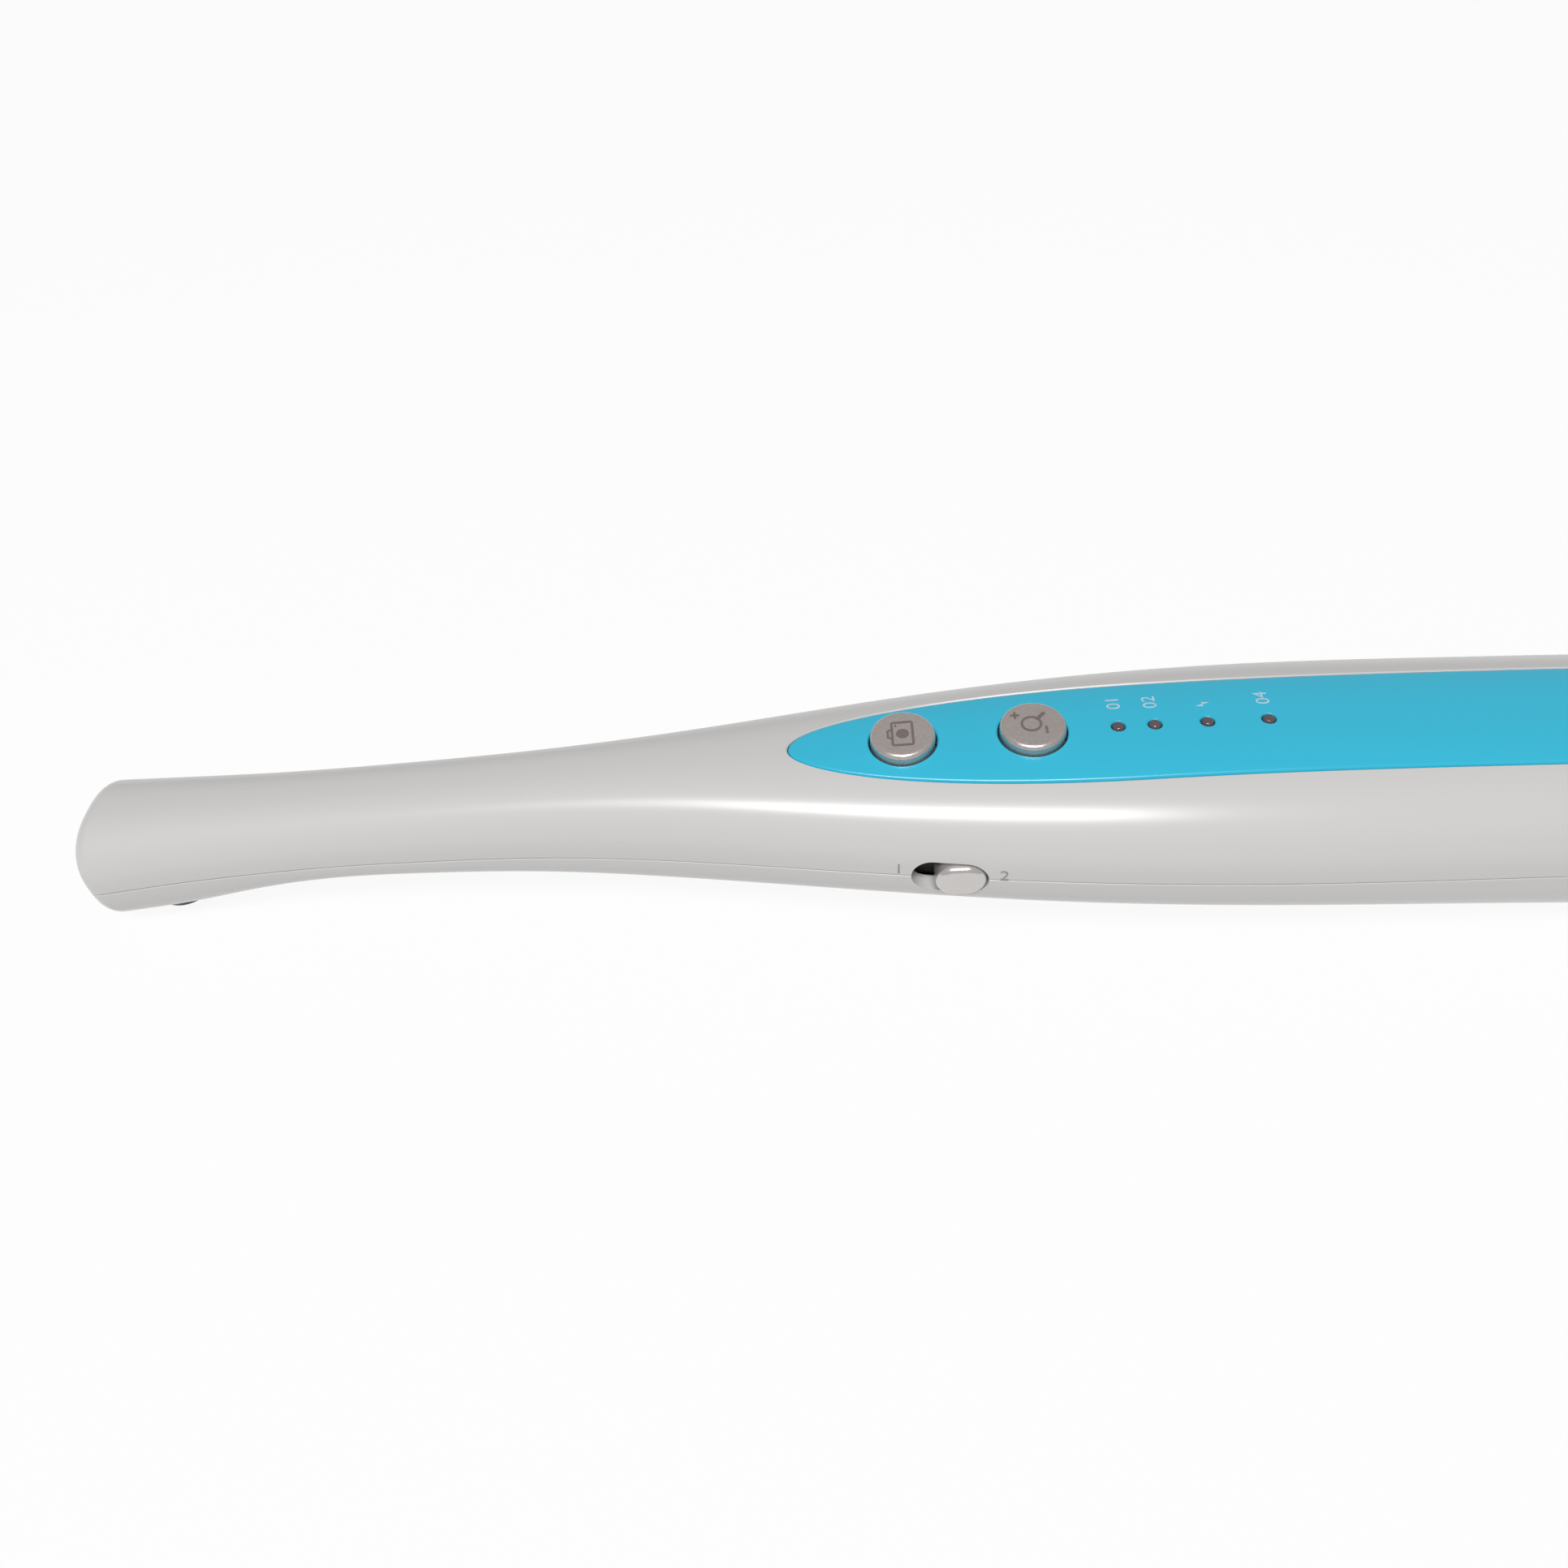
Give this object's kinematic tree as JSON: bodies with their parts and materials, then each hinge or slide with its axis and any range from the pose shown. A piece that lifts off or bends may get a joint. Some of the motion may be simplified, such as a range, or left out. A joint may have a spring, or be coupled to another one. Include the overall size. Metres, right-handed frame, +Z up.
{
  "type": "intraoral camera",
  "caption": "Pen-shaped wireless intraoral camera with a slim neck, a lens ring under the head, a blue control panel with round silver buttons and a slide switch on its side.",
  "frame": {"origin": "middle of the footprint, on the table that the camera lies on, lens side down", "axes": "+X from the head to the tail, +Z up out of the control panel side, -Y towards the side with the slide switch"},
  "size_m": [0.205, 0.0268, 0.0207],
  "materials": {
    "pearl_paint": "silver pearl paint with fine flakes",
    "blue_panel": "glossy blue moulding",
    "silver_button": "silver pearl paint on a pale moulding",
    "silver_knob": "glossy silver paint",
    "clear_plastic": "clear moulding",
    "lens_glass": "polished and coated",
    "black_gloss": "glossy black",
    "black_plastic": "matt black",
    "black_metal": "black anodised",
    "bright_steel": "nickel plated",
    "circuit_board": "green solder mask",
    "chip_black": "moulded chip",
    "led_chip": "cast resin",
    "flex_film": "amber film",
    "cell_wrap": "foil pouch",
    "foam_pad": "foam tape"
  },
  "bodies": {
    "housing": {"upper_shell": "pearl_paint", "lower_shell": "pearl_paint", "control_panel": "blue_panel", "capture_switch": "black_plastic", "zoom_switch": "black_plastic", "key_board": "circuit_board", "key_board_screws": "bright_steel", "indicator_light_guide": "clear_plastic", "indicator_leds": "led_chip", "mode_switch_body": "black_plastic", "main_board": "circuit_board", "image_processor": "chip_black", "wireless_module": "bright_steel", "antenna": "led_chip", "battery": "cell_wrap", "battery_pads": "foam_pad", "battery_tabs": "bright_steel", "data_socket": "bright_steel", "data_socket_tongue": "black_plastic", "key_flex": "flex_film", "camera_flex": "flex_film", "flex_connector": "black_plastic", "sensor_board": "circuit_board", "image_sensor": "chip_black", "lens_mount": "black_plastic", "lens_barrel": "black_metal", "front_lens": "lens_glass", "rear_lens": "lens_glass", "light_board": "chip_black", "head_leds": "led_chip", "lens_window": "lens_glass", "lens_bezel": "black_gloss", "housing_screws": "bright_steel"},
    "capture_button": {"capture_button": "silver_button", "capture_plunger": "black_plastic"},
    "zoom_button": {"zoom_button": "silver_button", "zoom_plunger": "black_plastic"},
    "mode_switch": {"mode_switch_knob": "silver_knob", "mode_switch_lever": "black_plastic"}
  },
  "joints": [
    {"name": "capture_press", "type": "slide", "parent": "housing", "child": "capture_button", "axis": [0.052, 0, -0.9986], "range_m": [0, 0.0003], "stiffness_N_per_m": 1000},
    {"name": "zoom_press", "type": "slide", "parent": "housing", "child": "zoom_button", "axis": [0.052, 0, -0.9986], "range_m": [0, 0.0003], "stiffness_N_per_m": 1000},
    {"name": "mode_slide", "type": "slide", "parent": "housing", "child": "mode_switch", "axis": [-1, 0, 0], "range_m": [0, 0.002]}
  ]
}
